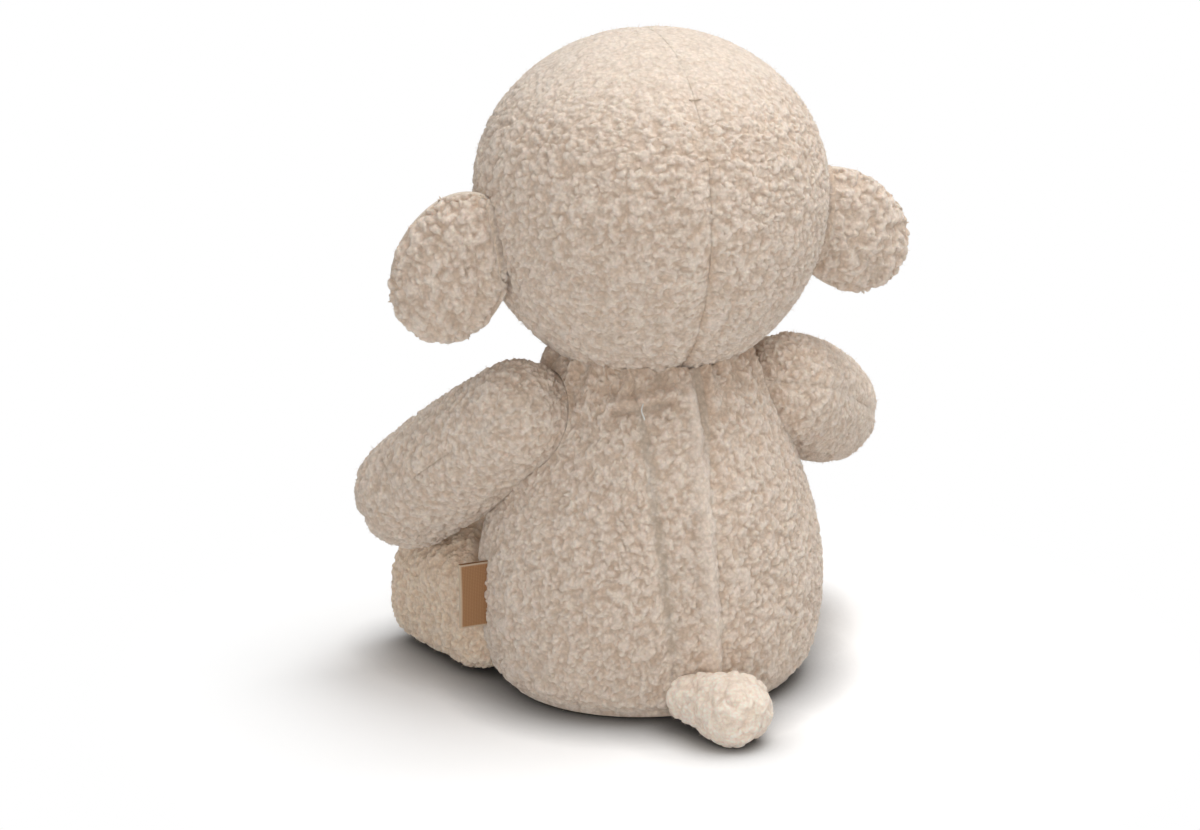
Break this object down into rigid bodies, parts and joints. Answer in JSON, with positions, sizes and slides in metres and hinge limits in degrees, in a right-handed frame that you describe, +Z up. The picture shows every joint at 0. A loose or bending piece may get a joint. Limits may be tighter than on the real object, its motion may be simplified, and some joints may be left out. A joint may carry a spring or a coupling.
{
  "type": "plush sheep",
  "caption": "Sitting stuffed sheep of cream curly fleece with a turning head, drooping ears, soft arms and legs, and a small tail",
  "frame": {"origin": "on the floor, at the middle of the flat base under the body", "axes": "+Z up, -Y is the way the sheep faces, +X is the sheep's left"},
  "size_m": [0.2483, 0.1926, 0.288],
  "materials": {
    "curly_fleece": "cream curly fleece, matt",
    "smooth_plush": "short smooth plush, matt",
    "stuffing": "white polyester fibre",
    "pellet_bag": "tight cotton bag of pellets",
    "label_ribbon": "brown woven ribbon",
    "embroidery_thread": "dark brown satin stitch"
  },
  "bodies": {
    "torso": {"body_fill": "stuffing", "pellet_bag": "pellet_bag", "back_left_panel": "curly_fleece", "back_right_panel": "curly_fleece", "back_strip": "curly_fleece", "belly_panel": "curly_fleece", "base_panel": "curly_fleece", "side_label": "label_ribbon"},
    "neck": {"neck_fill": "stuffing"},
    "head": {"head_fill": "stuffing", "head_left_panel": "curly_fleece", "head_right_panel": "curly_fleece", "face_panel": "smooth_plush", "left_eye_embroidery": "embroidery_thread", "right_eye_embroidery": "embroidery_thread", "nose_embroidery": "embroidery_thread"},
    "left_ear": {"left_ear_back_panel": "curly_fleece", "left_ear_inner_panel": "smooth_plush", "left_ear_fill": "stuffing"},
    "right_ear": {"right_ear_back_panel": "curly_fleece", "right_ear_inner_panel": "smooth_plush", "right_ear_fill": "stuffing"},
    "left_arm": {"left_arm_upper_panel": "curly_fleece", "left_arm_lower_panel": "curly_fleece", "left_arm_fill": "stuffing"},
    "right_arm": {"right_arm_upper_panel": "curly_fleece", "right_arm_lower_panel": "curly_fleece", "right_arm_fill": "stuffing"},
    "left_leg": {"left_leg_cover": "curly_fleece", "left_foot_sole": "smooth_plush", "left_leg_fill": "stuffing"},
    "right_leg": {"right_leg_cover": "curly_fleece", "right_foot_sole": "smooth_plush", "right_leg_fill": "stuffing"},
    "tail": {"tail_cover": "curly_fleece", "tail_fill": "stuffing"}
  },
  "joints": [
    {"name": "head_turn", "type": "hinge", "parent": "torso", "child": "neck", "pos_m": [0, 0, 0.217], "axis": [0, 0, 1], "range_deg": [-30, 30], "stiffness_Nm_per_rad": 0.15},
    {"name": "head_nod", "type": "hinge", "parent": "neck", "child": "head", "pos_m": [0, 0, 0.217], "axis": [1, 0, 0], "range_deg": [-12, 12], "stiffness_Nm_per_rad": 0.4},
    {"name": "left_ear_flap", "type": "hinge", "parent": "head", "child": "left_ear", "pos_m": [0.075, 0.01, 0.1935], "axis": [0, 0, 1], "range_deg": [-20, 20], "stiffness_Nm_per_rad": 0.01},
    {"name": "right_ear_flap", "type": "hinge", "parent": "head", "child": "right_ear", "pos_m": [-0.075, 0.01, 0.197], "axis": [0, 0, 1], "range_deg": [-20, 20], "stiffness_Nm_per_rad": 0.01},
    {"name": "left_arm_lift", "type": "hinge", "parent": "torso", "child": "left_arm", "pos_m": [0.062, 0.006, 0.127], "axis": [-0.8387, -0.5446, 0], "range_deg": [-3, 40], "stiffness_Nm_per_rad": 0.08},
    {"name": "right_arm_lift", "type": "hinge", "parent": "torso", "child": "right_arm", "pos_m": [-0.062, 0.006, 0.127], "axis": [-0.809, 0.5878, 0], "range_deg": [-14, 27], "stiffness_Nm_per_rad": 0.08},
    {"name": "left_leg_lift", "type": "hinge", "parent": "torso", "child": "left_leg", "pos_m": [0.06, -0.035, 0.0285], "axis": [-0.9703, -0.2419, 0], "range_deg": [0, 15], "stiffness_Nm_per_rad": 0.08},
    {"name": "right_leg_lift", "type": "hinge", "parent": "torso", "child": "right_leg", "pos_m": [-0.06, -0.035, 0.0285], "axis": [-0.9703, 0.2419, 0], "range_deg": [0, 15], "stiffness_Nm_per_rad": 0.08},
    {"name": "tail_lift", "type": "hinge", "parent": "torso", "child": "tail", "pos_m": [0.006, 0.068, 0.014], "axis": [0.848, 0.5299, 0], "range_deg": [0, 35], "stiffness_Nm_per_rad": 0.01}
  ]
}
